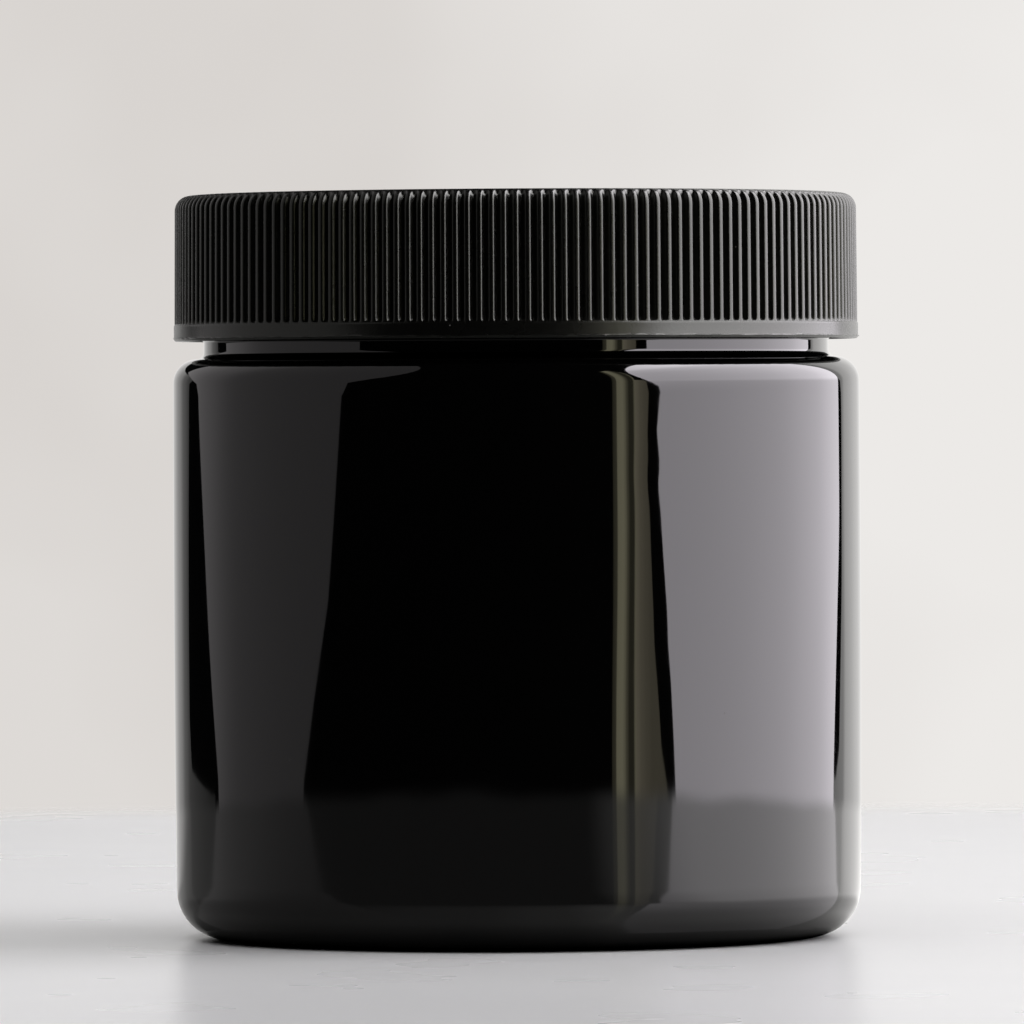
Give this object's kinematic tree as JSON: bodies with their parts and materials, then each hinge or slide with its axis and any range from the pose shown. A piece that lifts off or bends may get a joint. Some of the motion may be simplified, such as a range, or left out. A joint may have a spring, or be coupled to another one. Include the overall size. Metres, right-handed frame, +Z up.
{
  "type": "cosmetic cream jar",
  "caption": "Straight-sided black plastic jar for cream, with a wide threaded mouth and a finely ribbed screw cap that holds a flat liner.",
  "frame": {"origin": "centre of the ring that the jar stands on", "axes": "+Z up along the jar's axis, towards the cap; the front faces -Y"},
  "size_m": [0.0918, 0.0918, 0.099],
  "materials": {
    "black_pet": "gloss",
    "black_polypropylene": "satin",
    "pulpboard": "matte",
    "facing_film": "satin"
  },
  "bodies": {
    "jar": {"jar_body": "black_pet"},
    "liner": {"liner_wad": "pulpboard", "liner_facing": "facing_film"},
    "cap": {"screw_cap": "black_polypropylene"}
  },
  "joints": [
    {"name": "cap_rise", "type": "slide", "parent": "jar", "child": "liner", "axis": [0, 0, 1], "range_m": [0, 0.02032]},
    {"name": "cap_turn", "type": "hinge", "parent": "liner", "child": "cap", "pos_m": [0, 0, 0.09], "axis": [0, 0, 1], "range_deg": [0, 1440]}
  ],
  "couplings": [
    {"joint": "cap_rise", "follows": "cap_turn", "m_per_rad": 0.00080851}
  ]
}
